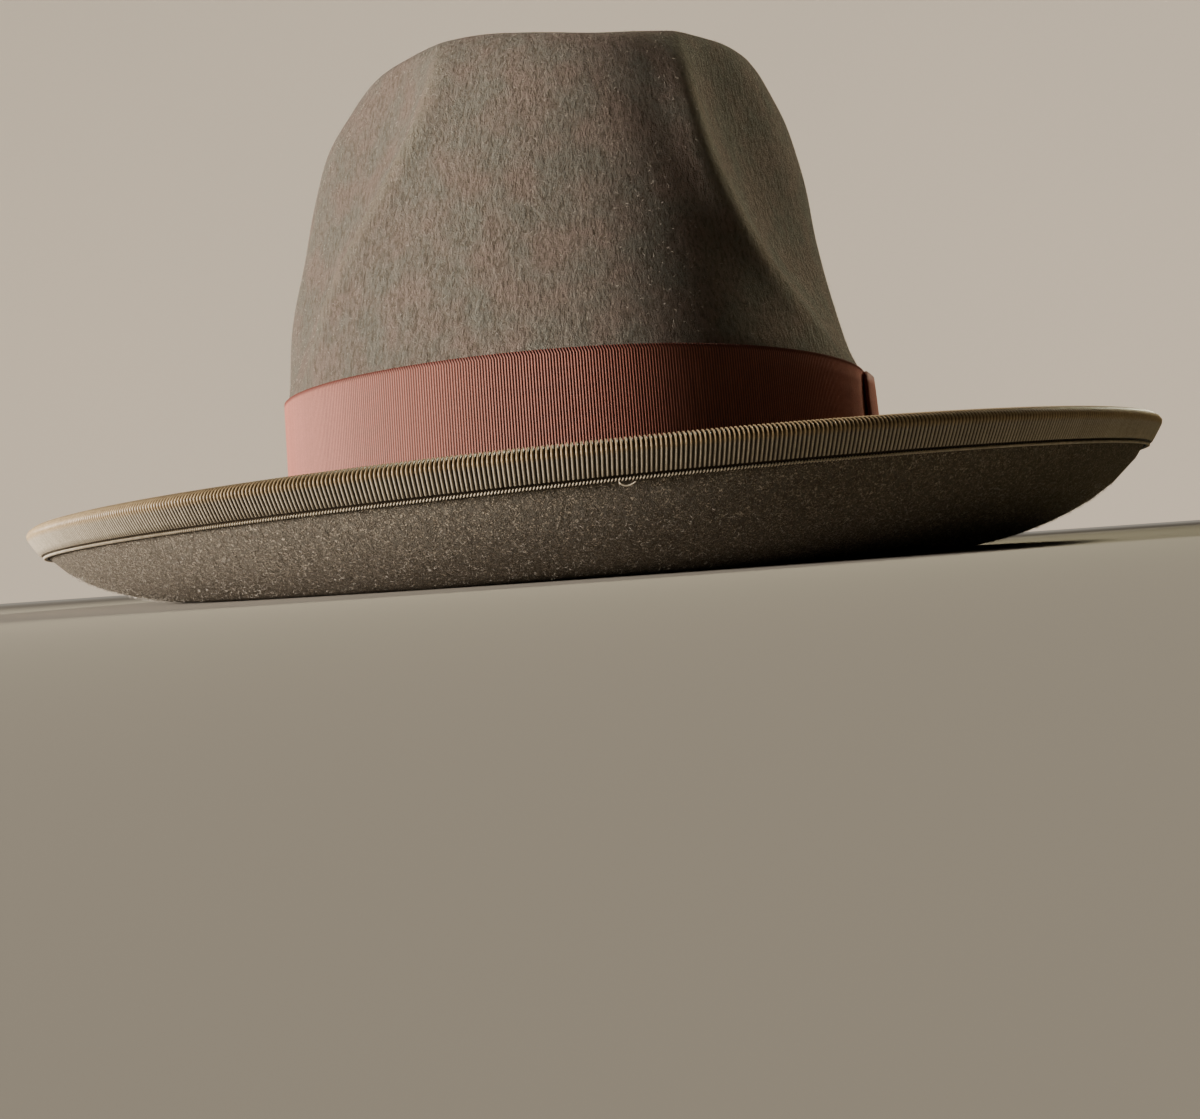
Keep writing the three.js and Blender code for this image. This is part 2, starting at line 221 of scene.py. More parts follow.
def off_ridge(turn, row):
    """How far, in radians, a place lies behind the front edge of the pinch on its side."""
    around = np.arctan2(np.sin(turn), np.cos(turn))
    ridge = np.radians(np.where(around > 0, row["ridge_left"], row["ridge_right"]))
    return np.abs(around) - ridge, ridge


def pinch_inset(turn, row):
    """How far the front pinches draw the wall in: a quick fall behind the ridge, a slow
    return to the side, and a slight bulge along the ridge itself."""
    distance, ridge = off_ridge(turn, row)
    behind = np.clip(distance / (PINCH_END - ridge), 0, 1)
    hollow = HOLLOW_GAIN * behind ** HOLLOW_POWER * (1 - behind) ** 2
    bulge = RIDGE_BULGE * np.exp(-((distance / RIDGE_SPREAD) ** 2))
    return row["pinch"] * (PINCH_DEPTH * hollow - bulge)


def break_level(turn):
    """The height of the crown's foot, which dips on the wearer's left."""
    return RING_LEVEL + BREAK_HEIGHT - BREAK_DIP_LEFT * leftness(turn)


def band_top(turn):
    return break_level(turn) + BREAK_RADIUS + BAND_ZONE


def crown_zone(turn, share):
    row = crown_row(share)
    point = oval(
        turn,
        CROWN_HALF_WIDTH * row["left"],
        CROWN_HALF_WIDTH * row["right"],
        CROWN_HALF_LENGTH * row["front"],
        CROWN_HALF_LENGTH * row["back"],
    )
    reach = np.maximum(np.hypot(point[:, 0], point[:, 1]), 1)
    point *= (1 - pinch_inset(turn, row) / reach)[:, None]
    across = np.abs(point[:, 0] - CREASE_SHIFT * np.cos(turn) * row["front"]) / CREASE_HALF_WIDTH
    sink = CREASE_DEPTH * row["crease"] * np.exp(-(across ** CREASE_POWER))
    level = lerp(band_top(turn), CROWN_TOP, row["rise"]) - sink
    return np.column_stack([point + (CROWN_SHIFT_LEFT, 0), level])


def wall_zone(turn, share):
    top = crown_zone(turn, np.ones_like(turn))[:, :2]
    bow = (share ** WALL_POWER)[:, None]
    return np.column_stack([lerp(top, crown_base(turn), bow), band_top(turn) - BAND_ZONE * share])


def brim_point(turn, out, level):
    """A point of the brim, a distance out from the crown's foot on the way to the edge."""
    foot = crown_base(turn)
    way = brim_edge(turn) - foot
    reach = np.hypot(way[:, 0], way[:, 1])
    return np.column_stack([foot + way * (out / reach)[:, None], level])


def break_zone(turn, share):
    bend = share * math.pi / 2
    out = BREAK_RADIUS * (1 - np.cos(bend))
    return brim_point(turn, out, break_level(turn) + BREAK_RADIUS * (1 - np.sin(bend)))


def roll_width(turn):
    return ROLL_WIDTH + ROLL_EXTRA_LEFT * leftness(turn)


def ring_inner(turn):
    way = brim_edge(turn) - crown_base(turn)
    return np.hypot(way[:, 0], way[:, 1]) - roll_width(turn) - RING_WIDTH


def slope_zone(turn, share):
    level = lerp(break_level(turn), RING_LEVEL, smooth(share))
    return brim_point(turn, lerp(BREAK_RADIUS, ring_inner(turn), share), level)


def ring_zone(turn, share):
    return brim_point(turn, ring_inner(turn) + RING_WIDTH * share, np.full_like(turn, RING_LEVEL))


def roll_zone(turn, share):
    out = ring_inner(turn) + RING_WIDTH + roll_width(turn) * share
    height = EDGE_HEIGHT + EDGE_TILT * np.sin(turn)
    roll = EARLY_ROLL * share ** 2 + LATE_ROLL * share ** 8
    return brim_point(turn, out, RING_LEVEL + height * roll)


ZONES = (crown_zone, wall_zone, break_zone, slope_zone, ring_zone, roll_zone)


def felt_point(turn, station):
    """A place on the middle of the felt."""
    zone_of = np.clip(np.floor(station), 0, EDGE - 1)
    point = np.zeros((len(turn), 3))
    for start, zone in enumerate(ZONES):
        here = zone_of == start
        if here.any():
            point[here] = zone(turn[here], station[here] - start)
    return point


def unit(vectors):
    return vectors / np.linalg.norm(vectors, axis=1)[:, None]


def felt_normal(turn, station):
    """The way out of the felt: away from the head on the crown, up on the brim."""
    step = 0.002
    place = np.clip(station, step, EDGE - step)
    around = felt_point(turn + step, place) - felt_point(turn - step, place)
    along = felt_point(turn, place + step) - felt_point(turn, place - step)
    return unit(np.cross(along, around))


def off_felt(turn, station, lift, past=0.0):
    """Places off the felt: lifted from its middle, and pushed out past its edge."""
    way = unit(felt_point(turn, station) - felt_point(turn, station - 0.01))
    lifted = felt_point(turn, station) + felt_normal(turn, station) * np.reshape(lift, (-1, 1))
    return lifted + way * np.reshape(past, (-1, 1))


def band_station(height):
    """The station of a height over the foot of the hatband, on the crown's straight wall."""
    return WALL_FOOT - height / BAND_ZONE


def edge_station(turn, inset):
    """The station that lies a length of felt in from the brim's edge."""
    step = 0.004
    stations = np.arange(EDGE, EDGE - 0.5, -step)
    turns, which = np.unique(np.round(turn, 7), return_inverse=True)
    grid_turn, grid_station = np.meshgrid(turns, stations, indexing="ij")
    points = felt_point(grid_turn.ravel(), grid_station.ravel()).reshape(len(turns), -1, 3)
    steps = np.linalg.norm(np.diff(points, axis=1), axis=2)
    walked = np.concatenate([np.zeros((len(turns), 1)), np.cumsum(steps, axis=1)], axis=1)
    place = inset / walked[which, -1] * (len(stations) - 1)
    low = np.clip(np.floor(place).astype(int), 0, len(stations) - 2)
    for _ in range(3):
        span = walked[which, low + 1] - walked[which, low]
        missed = np.floor((inset - walked[which, low]) / span).astype(int)
        low = np.clip(low + missed, 0, len(stations) - 2)
    span = walked[which, low + 1] - walked[which, low]
    share = (inset - walked[which, low]) / span
    return stations[low] - step * share


# Blanks and meshes


def spun_blank(profile, spans, cuts=0, closed=True):
    """Spins a section, given as pairs of row and lift, all the way round the z axis, and cuts
    each span of the spin into equal steps."""
    blank = bmesh.new()
    verts = [blank.verts.new((0, -row, lift)) for row, lift in profile]
    pairs = list(zip(verts, verts[1:])) + ([(verts[-1], verts[0])] if closed else [])
    edges = [blank.edges.new(pair) for pair in pairs]
    spin_round(blank, verts + edges, FULL_TURN, spans, use_merge=True)
    if not closed:
        bmesh.ops.remove_doubles(blank, verts=blank.verts, dist=1e-5)
    if cuts:
        rings = [edge for edge in blank.edges if runs_round(edge)]
        bmesh.ops.subdivide_edges(blank, edges=rings, cuts=cuts, use_grid_fill=True)
    return blank


def spin_round(blank, geom, angle, steps, use_merge=False, use_duplicate=False):
    bmesh.ops.spin(
        blank, geom=geom, cent=(0, 0, 0), axis=(0, 0, 1), dvec=(0, 0, 0), angle=angle, steps=steps,
        use_merge=use_merge, use_normal_flip=False, use_duplicate=use_duplicate,
    )


def runs_round(edge):
    """Whether an edge runs round the axis and not along the section."""
    start, end = (vert.co for vert in edge.verts)
    return abs(start.x * end.y - start.y * end.x) > 1e-4 * start.xy.length * end.xy.length


def copied_round(blank, rank):
    """Fills the full turn with copies of all that a blank holds, rank times rank of them."""
    for step in (FULL_TURN / rank ** 2, FULL_TURN / rank):
        geom = list(blank.verts) + list(blank.edges) + list(blank.faces)
        spin_round(blank, geom, step * (rank - 1), rank - 1, use_duplicate=True)


def strip_blank(path, width, rows, wall):
    """A strip of ribbon whose long side follows a path in x and z and whose width lies along
    y. It gets its wall on the inner side of the path."""
    blank = bmesh.new()
    verts = [blank.verts.new((x, -width / 2, z)) for x, z in path]
    edges = [blank.edges.new(pair) for pair in zip(verts, verts[1:])]
    for _ in range(rows):
        made = bmesh.ops.extrude_edge_only(blank, edges=edges)["geom"]
        edges = [part for part in made if isinstance(part, bmesh.types.BMEdge)]
        moved = [part for part in made if isinstance(part, bmesh.types.BMVert)]
        bmesh.ops.translate(blank, verts=moved, vec=(0, width / rows, 0))
    bmesh.ops.recalc_face_normals(blank, faces=blank.faces)
    bmesh.ops.solidify(blank, geom=list(blank.faces), thickness=wall)
    return blank


def coordinates(mesh):
    found = np.zeros(len(mesh.vertices) * 3, np.float32)
    mesh.vertices.foreach_get("co", found)
    return found.reshape(-1, 3).astype(float)


def finish_piece(name, blank, block, material, replaced=None):
    """Turns a blank into a finished piece. block takes the blank's points and gives their
    places on the hat, in millimetres, and the attributes that the material reads."""
    mesh = bpy.data.meshes.new(name)
    blank.to_mesh(mesh)
    blank.free()
    places, attributes = block(coordinates(mesh))
    mesh.vertices.foreach_set("co", (places * MM).astype(np.float32).ravel())
    for key, values in attributes.items():
        layer = mesh.attributes.new(key, "FLOAT", "POINT")
        layer.data.foreach_set("value", np.asarray(values, np.float32))
    whole = bmesh.new()
    whole.from_mesh(mesh)
    bmesh.ops.recalc_face_normals(whole, faces=whole.faces)
    for face in whole.faces:
        face.smooth = True
    whole.to_mesh(mesh)
    whole.free()
    mesh.materials.append(material)
    piece = bpy.data.objects.new(name, mesh)
    bpy.context.scene.collection.objects.link(piece)
    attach(piece, "root")
    if replaced:
        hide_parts(replaced)
    return piece


def turn_and_row(points):
    """The turn and the way out from the axis of a spun blank's points."""
    turn = np.arctan2(points[:, 0], -points[:, 1]) % FULL_TURN
    return turn, np.hypot(points[:, 0], points[:, 1])


def rib_wave(distance, pitch):
    """The height of woven ribs, from 0 in a groove to 1 on a ridge."""
    return 0.5 - 0.5 * np.cos(FULL_TURN * distance / pitch)


def rib_tones(index, seed):
    """A tone of its own, from 0 to 1, for each rib."""
    index = np.asarray(index, int)
    tones = np.random.default_rng(seed).random(index.max() + 1)
    return tones[index]


def tones_round(rib_place, ribs, seed):
    """The tones of the ribs of a ribbon that closes on itself."""
    return rib_tones(np.floor(rib_place + 1e-4) % ribs, seed)


def tones_along(distance, seed, middle_rib=200):
    """The tones of the ribs of a straight ribbon, at a distance from its middle."""
    return rib_tones(np.floor(distance / BAND_RIB + middle_rib), seed)


def wander(places, size, seed):
    """A slow noise from -1 to 1 over the hat, with hills of a size in millimetres."""
    shift = Vector((seed, 2 * seed, 3 * seed))
    return np.array([noise.noise(Vector(place) / size + shift) for place in places])


# Materials


def linear(colour):
    """A colour given as sRGB hex, turned linear."""
    channels = [(colour >> shift & 255) / 255 for shift in (16, 8, 0)]
    curve = [c / 12.92 if c <= 0.04045 else ((c + 0.055) / 1.055) ** 2.4 for c in channels]
    return (*curve, 1.0)


def per_mm(size):
    """The scale of a pattern in metres whose features have a size in millimetres."""
    return 1 / (size * MM)


def add_node(tree, kind, sockets=None, **settings):
    """Adds a node with its settings. A socket takes a plain value or another node's output."""
    node = tree.nodes.new("ShaderNode" + kind)
    for name, value in settings.items():
        setattr(node, name, value)
    for name, value in (sockets or {}).items():
        if isinstance(value, bpy.types.NodeSocket):
            tree.links.new(value, node.inputs[name])
        else:
            node.inputs[name].default_value = value
    return node


# Places of the colour sockets on a Mix node
MIX_A, MIX_B, MIX_COLOUR = 6, 7, 2


def new_material(name):
    material = bpy.data.materials.new(name)
    material.use_nodes = True
    material.node_tree.nodes.clear()
    return material, material.node_tree


def finish_material(tree, colour, normal=None, **values):
    """Ends a material in a Principled shader with the colour, the normal and plain values."""
    sockets = {"Base Color": colour}
    if normal is not None:
        sockets["Normal"] = normal
    sockets.update({name.replace("_", " "): value for name, value in values.items()})
    shader = add_node(tree, "BsdfPrincipled", sockets)
    add_node(tree, "OutputMaterial", {"Surface": shader.outputs["BSDF"]})


def mixed(tree, factor, a, b):
    """A colour between two others, the way the factor says."""
    sockets = {0: factor, MIX_A: a, MIX_B: b}
    return add_node(tree, "Mix", sockets, data_type="RGBA").outputs[MIX_COLOUR]


def place_of(tree):
    return add_node(tree, "TexCoord").outputs["Object"]


def attribute(tree, name):
    return add_node(tree, "Attribute", attribute_name=name).outputs["Fac"]


def grain(tree, place, size, **sockets):
    """Noise whose features have a size in millimetres."""
    sockets = {"Vector": place, "Scale": per_mm(size), **sockets}
    return add_node(tree, "TexNoise", sockets).outputs["Fac"]


def ranged(tree, value, low=0.0, high=1.0, start=0.0, end=1.0):
    """A value whose range from low to high becomes the range from start to end."""
    sockets = {"Value": value, "From Min": low, "From Max": high, "To Min": start, "To Max": end}
    return add_node(tree, "MapRange", sockets).outputs["Result"]


def bumped(tree, height, depth, strength):
    """A normal that follows a height whose full range is a depth in millimetres."""
    sockets = {"Strength": strength, "Distance": depth * MM, "Height": height}
    return add_node(tree, "Bump", sockets).outputs["Normal"]


def felt_material():
    """Brushed fur felt: matt and soft, mottled where rosy and green-grey fur mix, with short
    fibres that catch the light on the ground and stand out as specks under the brim. The brim's
    underside is painted darker as shade, and the pinch ridges lighter as a painted highlight with
    some wear."""
    material, tree = new_material("fur_felt_brushed")
    place = place_of(tree)
    blotches = grain(tree, place, 11, Detail=3.0, Roughness=0.5)
    blotch_share = ranged(tree, blotches, 0.38, 0.62)
    under = attribute(tree, "under")
    brushed = mixed(tree, blotch_share, linear(0x78756A), linear(0x84756A))
    # The brim's underside gets a darker, greyer ground: painted shade under the brim
    ground = mixed(tree, under, brushed, linear(0x6A655A))
    stretch = add_node(tree, "Mapping", {"Vector": place, "Scale": (1.0, 1.0, 0.35)}).outputs["Vector"]
    nap = grain(tree, stretch, 0.9, Detail=3.0, Roughness=0.7)
    fibres = grain(tree, place, 0.62, Detail=2.0, Roughness=0.6, Distortion=2.0)
    shaded = mixed(tree, ranged(tree, nap, 0.54, 0.38, end=0.7), ground, linear(0x554C3F))
    specks = ranged(tree, fibres, 0.55, 0.64, end=ranged(tree, under, start=0.2))
    specked = mixed(tree, specks, shaded, linear(0xCABCA6))
    # Lighter along the pinch ridges: a painted highlight, with some wear
    colour = mixed(tree, attribute(tree, "ridge_highlight_and_wear"), specked, linear(0x9A907B))
    clumps = grain(tree, stretch, 2.6, Detail=2.0)
    fine = add_node(tree, "Math", {0: nap, 1: fibres}, operation="ADD").outputs["Value"]
    heights = add_node(
        tree, "Math", {0: clumps, 1: 1.2, 2: fine}, operation="MULTIPLY_ADD"
    ).outputs["Value"]
    finish_material(
        tree, colour, bumped(tree, heights, 1.2, 1.0), Roughness=0.95, Specular_IOR_Level=0.15,
        Sheen_Weight=0.22, Sheen_Roughness=0.45, Sheen_Tint=linear(0xC8AE9C),
    )
    return material


def ribbon_material(name, groove, ridge, edge, groove_share, gloss):
    """Grosgrain ribbon: crosswise ribs of shiny yarn with grooves between them painted dark as
    shade, an edge colour of its own, which the binding's upper side takes as painted light and the
    bow's front end as painted shade, and small lights where single threads cross the ribs."""
    material, tree = new_material(name)
    edge_tint_and_painted_light = attribute(tree, "edge_tint_and_painted_light")
    rib_share = ranged(tree, attribute(tree, "rib"), groove_share, 0.9)
    # The groove colour is painted shade in the grooves between the ribs
    shaded_grooves = mixed(tree, ranged(tree, edge_tint_and_painted_light, end=0.25), linear(groove), linear(edge))
    ridges = mixed(tree, edge_tint_and_painted_light, linear(ridge), linear(edge))
    woven = mixed(tree, rib_share, shaded_grooves, ridges)
    toned = mixed(tree, ranged(tree, attribute(tree, "tone"), end=0.16), woven, linear(groove))
    threads = grain(tree, place_of(tree), 0.45, Detail=2.0, Roughness=0.7)
    colour = mixed(tree, ranged(tree, threads, 0.35, 0.75, end=0.3), toned, linear(groove))
    finish_material(
        tree, colour, bumped(tree, threads, 0.12, 0.4), Roughness=gloss, Specular_IOR_Level=0.35,
        Sheen_Weight=0.03, Sheen_Roughness=0.4, Sheen_Tint=linear(ridge),
    )
    return material


def leather_material():
    """Vegetable-tanned sheepskin for a sweatband: thin and matt, with a fine pebble grain."""
    material, tree = new_material("sheepskin_leather")
    place = place_of(tree)
    colour = mixed(tree, grain(tree, place, 14, Detail=3.0), linear(0x6B4428), linear(0x8C6040))
    pebbles = add_node(
        tree, "TexVoronoi", {"Vector": place, "Scale": per_mm(1.1)}, feature="SMOOTH_F1"
    ).outputs["Distance"]
    finish_material(
        tree, colour, bumped(tree, pebbles, 0.1, 0.5), Roughness=0.5, Specular_IOR_Level=0.4
    )
    return material


def thread_material():
    """Mercerised cotton thread: a little shine, and tones that differ from stitch to stitch."""
    material, tree = new_material("cotton_thread_cream")
    tones = grain(tree, place_of(tree), 1.3, Detail=2.0)
    colour = mixed(tree, tones, linear(0x8F8068), linear(0xE0D4BC))
    finish_material(
        tree, colour, bumped(tree, tones, 0.05, 0.3), Roughness=0.6, Specular_IOR_Level=0.35
    )
    return material


def fibre_material():
    """Single hairs of rabbit fur, lighter than the mass of the felt, each with its own tone."""
    material, tree = new_material("rabbit_fur_fibre")
    tones = grain(tree, place_of(tree), 3.0)
    colour = mixed(tree, tones, linear(0xB0A493), linear(0xF2E8D8))
    finish_material(tree, colour, Roughness=0.7, Specular_IOR_Level=0.25)
    return material


# Felt


def crown_and_brim(material):
    """One piece of felt from the tip to the edge, spun from its section."""

    def stations(*counts):
        """Stations from the tip to the edge, with a number of steps for each zone."""
        spans = [start + np.arange(count) / count for start, count in enumerate(counts)]
        return list(np.concatenate(spans + [[EDGE]]))

    half = FELT_WALL / 2
    profile = [(station, half) for station in stations(62, 8, 5, 5, 3, 26)]
    profile += [(station, -half) for station in reversed(stations(30, 4, 3, 3, 2, 10))]

    def block(points):
        turn, station = turn_and_row(points)
        lift = points[:, 2]
        places = off_felt(turn, np.minimum(station, EDGE), lift)
        row = crown_row(np.clip(station, 0, BAND_TOP))
        distance, _ = off_ridge(turn, row)
        # Along the pinch ridges the outer felt is painted lighter: a painted highlight, with some
        # wear.
        near_ridge = np.exp(-((distance / RIDGE_HIGHLIGHT_SPREAD) ** 2))
        ridge_highlight_and_wear = RIDGE_HIGHLIGHT_AND_WEAR * row["pinch"] * near_ridge * (lift > 0)
        on_crown = smooth((BAND_TOP - station) / 0.15)
        on_brim = smooth((station - SLOPE_START) / 0.3) * smooth((EDGE - 0.3 - station) / 0.3)
        waves = sum(wander(places, size, seed) * height for size, height, seed in WAVES)
        upright = np.clip(station / 0.03, 0, 1)
        on_roll = on_brim * BRIM_WAVE_SHARE * (station > ROLL_START)
        normal = felt_normal(turn, station)
        places += normal * (waves * on_crown * upright)[:, None]
        places += normal * (waves * on_roll)[:, None]
        # under marks the brim's underside, which the material paints darker as shade and specks more
        under = ((lift < 0) & (station > WALL_FOOT)).astype(float)
        return places, {"under": under, "ridge_highlight_and_wear": ridge_highlight_and_wear}

    blank = spun_blank(profile, 180, cuts=1, closed=False)
    return finish_piece("felt_shell", blank, block, material, "crown_and_brim")


# Ribbons on the hat


def binding_section():
    """The binding's section: its outer face from the under side round the edge to the upper
    side, then its inner face back. Rows count from the edge, and lifts from the felt's middle."""
    under = (
        BINDING_UNDER, BINDING_UNDER - 0.5, BINDING_UNDER - SELVEDGE, BINDING_UNDER - 1.7,
        4.0, 2.6, 1.2, 0.2,
    )
    over = (0.3, 2.4, 5.0, BINDING_OVER - SELVEDGE, BINDING_OVER)
    section = [(BLANK_EDGE - inset, -RIBBON_FAR) for inset in under]
    for angle in np.radians((-60, -25, 10, 45)):
        past = (GAP + RIBBON_WALL) * math.cos(angle)
        section.append((BLANK_EDGE + past, RIBBON_FAR * math.sin(angle)))
    section += [(BLANK_EDGE - inset, RIBBON_FAR) for inset in over]
    section += [(BLANK_EDGE - BINDING_OVER, RIBBON_NEAR), (BLANK_EDGE, RIBBON_NEAR)]
    return section + [(BLANK_EDGE, -RIBBON_NEAR), (BLANK_EDGE - BINDING_UNDER, -RIBBON_NEAR)]


def edge_ribbon(material):
    """The wide binding, folded over the brim's edge, with a rib every millimetre. A groove
    parts the ribs from the flat selvedge under the brim."""
    spans, cuts = 265, 15
    ribs = spans * (cuts + 1) // 4

    def block(points):
        turn, row = turn_and_row(points)
        lift = points[:, 2]
        inset = np.maximum(BLANK_EDGE - row, 0)
        past = np.maximum(row - BLANK_EDGE, 0)
        outside = (np.abs(lift) > RIBBON_NEAR + 0.1) | (past > GAP)
        rib_place = turn / FULL_TURN * ribs
        rib = rib_wave(rib_place, 1) ** CORD_ROUNDNESS * outside
        below = (lift < 0) & outside
        selvedge = below & (inset > BINDING_UNDER - SELVEDGE - 0.1)
        groove = below & (np.abs(inset - (BINDING_UNDER - SELVEDGE)) < 0.1)
        depth = BINDING_DEPTH * (1 - rib) * outside
        depth = np.where(groove, BINDING_DEPTH * 1.3, np.where(selvedge, BINDING_DEPTH, depth))
        drawn = lift - np.sign(lift) * depth * np.minimum(np.abs(lift) / RIBBON_FAR, 1)
        beyond = np.maximum(past - depth, 0) * (past > 0)
        places = off_felt(turn, edge_station(turn, inset), drawn, beyond)
        # The groove and the selvedge get rib 0 and so the grooves' painted shade. The upper side and
        # the fold get the golden edge colour: painted light from behind, over the ribbon's tan.
        folded = np.where(lift > -RIBBON_FAR + 0.01, 1, smooth((0.9 - inset) / 0.7)) * outside
        return places, {
            "rib": np.where(selvedge | groove, 0.0, rib),
            "tone": tones_round(rib_place, ribs, 5),
            "edge_tint_and_painted_light": 0.8 * folded,
        }

    blank = spun_blank(binding_section(), spans, cuts)
    return finish_piece("edge_ribbon", blank, block, material, "brim_binding")


def crown_ribbon(material):
    """The hatband, with upright ribs that lean over along its selvedges."""
    spans, cuts = 186, 15
    ribs = spans * (cuts + 1) // 4
    heights = (
        0, 0.5, SELVEDGE, 4, 10, 16, 22, 28, 34, 39,
        BAND_WIDTH - SELVEDGE, BAND_WIDTH - 0.5, BAND_WIDTH,
    )
    profile = [(BLANK_FOOT + height, RIBBON_FAR) for height in heights]
    profile += [(BLANK_FOOT + height, RIBBON_NEAR) for height in (BAND_WIDTH, BAND_WIDTH / 2, 0)]

    def block(points):
        turn, row = turn_and_row(points)
        lift = points[:, 2]
        height = row - BLANK_FOOT
        outside = lift > RIBBON_NEAR + 0.1
        rib_place = turn / FULL_TURN * ribs
        rib = rib_wave(rib_place, 1) * outside
        in_selvedge = np.maximum(height - (BAND_WIDTH - SELVEDGE), SELVEDGE - height)
        in_selvedge = np.clip(in_selvedge / SELVEDGE, 0, 1)
        lean = 0.7 * in_selvedge * np.sign(height - BAND_WIDTH / 2) * FULL_TURN / ribs
        drawn = lift - RIB_DEPTH * (1 - rib) * outside
        places = off_felt(turn - lean, band_station(height), drawn)
        return places, {
            "rib": rib,
            "tone": tones_round(rib_place, ribs, 9),
            "edge_tint_and_painted_light": 0.9 * (in_selvedge > 0) * outside,
        }

    blank = spun_blank(profile, spans, cuts)
    return finish_piece("crown_ribbon", blank, block, material, "hatband")


def head_leather(material):
    """The sweatband, a plain strip of leather inside the crown, with softened edges."""
    far = -FELT_WALL / 2 - GAP
    near = far - LEATHER_WALL
    softness = 0.35
    foot, *between, top = np.linspace(SWEAT_START, min(SWEAT_START + SWEAT_WIDTH, BAND_ZONE), 12)
    section = [(foot, near + softness)] + [(level, near) for level in between]
    section += [(top, near + softness), (top, far - softness)]
    section += [(level, far) for level in reversed(between)] + [(foot, far - softness)]

    def block(points):
        turn, row = turn_and_row(points)
        return off_felt(turn, band_station(row - BLANK_FOOT), points[:, 2]), {}

    blank = spun_blank([(BLANK_FOOT + level, lift) for level, lift in section], 120, cuts=1)
    return finish_piece("head_leather", blank, block, material, "sweatband")


# Bow


def bow_place(along, height, lift):
    """A place on the bow: along the band from its middle on the wearer's left, over the
    middle of the band, and off the band's face."""
    turn = math.pi / 2 + along / CROWN_HALF_LENGTH
    return off_felt(turn, band_station(BAND_WIDTH / 2 + height), BOW_FLOOR + lift)


def bow_loops(material):
    """A flat loop of ribbon. Its front end stands off the band more at the foot than at the
    top, and its last few millimetres are painted dark as shade from the crown."""
    quarter = BAND_RIB / 4
    count = round(BOW_HALF_LENGTH / quarter)
    reach = count * quarter
    face = [(k * quarter - reach, 1.0) for k in range(2 * count + 1)]
    bends = np.linspace(0.4, math.pi - 0.4, 6)
    fold = [(reach + 0.5 * math.sin(a), 0.5 + 0.5 * math.cos(a)) for a in bends]
    path = face + fold + [(x, 0.0) for x, _ in reversed(face)] + [(-x, 1 - z) for x, z in fold]

    def block(points):
        along, height, level = points.T
        share = np.clip(along / BOW_HALF_LENGTH, -1, 1)
        tall = BAND_WIDTH * np.interp(share, BOW_ALONG, BOW_TALL)
        puff = BOW_WALL * np.interp(share, BOW_ALONG, BOW_PUFF)
        upward = height / BAND_WIDTH + 0.5
        puff *= 1 - (1 - BOW_TOP_PUFF) * upward * np.clip(-share, 0, 1) ** 2
        rib = rib_wave(along, BAND_RIB)
        lift = np.where(level > BOW_WALL / 2, puff - (BOW_WALL - level), level)
        lift -= np.where(level > BOW_WALL - 0.05, RIB_DEPTH * (1 - rib), 0)
        corner = np.clip((np.abs(share) - 0.9) / 0.1, 0, 1)
        rounded = 1 - 0.06 * corner * (np.abs(height) / (BAND_WIDTH / 2)) ** 4
        places = bow_place(along * rounded, height * tall / BAND_WIDTH, np.clip(lift, 0, BOW_WALL))
        in_selvedge = np.abs(height) > BAND_WIDTH / 2 - SELVEDGE
        # The last millimetres of the front end are painted dark as shade from the crown; the selvedges
        # take their own edge colour
        edge_tint_and_painted_light = np.where(along < BOW_SHADED_END - BOW_HALF_LENGTH, 1.0, 0.9 * in_selvedge)
        return places, {"rib": rib, "tone": tones_along(along, 13), "edge_tint_and_painted_light": edge_tint_and_painted_light}

    scaled = [(x, 0.02 + z * (BOW_WALL - 0.04)) for x, z in path]
    blank = strip_blank(scaled, BAND_WIDTH, 14, BOW_LAYER)
    return finish_piece("bow_loops", blank, block, material, "bow")


def bow_wrap(material):
    """The strip over the bow's waist. Its ribs run along the hat, across its own length."""
    share = KNOT_HALF_LENGTH / BOW_HALF_LENGTH
    tall = BAND_WIDTH / 2 * np.interp(share, BOW_ALONG, BOW_TALL) + GAP + KNOT_WALL
    top = BOW_WALL * np.interp(share, BOW_ALONG, BOW_PUFF) + GAP + KNOT_WALL
    quarter = BAND_RIB / 4
    flat = np.arange(-(tall - KNOT_BEND), tall - KNOT_BEND + 0.01, quarter)
    bends = np.linspace(0.3, math.pi / 2, 5)
    corner = [(KNOT_BEND * math.sin(a), KNOT_BEND * (math.cos(a) - 1)) for a in bends]
    path = [(y, top) for y in flat]
    path += [(flat[-1] + x, top + z) for x, z in corner]
    path += [(tall, 0.05)]
    path = [(-x, z) for x, z in reversed(path[len(flat):])] + path

    def block(points):
        height, along, level = points.T
        down_the_side = np.clip(top - level, 0, top) * (np.abs(height) > tall - KNOT_BEND)
        run = height + np.sign(height) * down_the_side
        rib = rib_wave(run, BAND_RIB)
        edge = np.abs(along) / KNOT_HALF_LENGTH
        lift = level - 0.5 * edge ** 4 * (level > 1)
        tucks = 0.35 * np.cos(3 * math.pi * along / KNOT_HALF_LENGTH) * (level > 1)
        places = bow_place(along, height, np.maximum(lift + tucks - RIB_DEPTH * (1 - rib), 0))
        return places, {"rib": rib, "tone": tones_along(run, 17), "edge_tint_and_painted_light": 0.5 * (edge > 0.9)}

    blank = strip_blank(path, 2 * KNOT_HALF_LENGTH, 16, BOW_LAYER)
    return finish_piece("bow_wrap", blank, block, material, "bow_knot")


# Stitches and loose ends


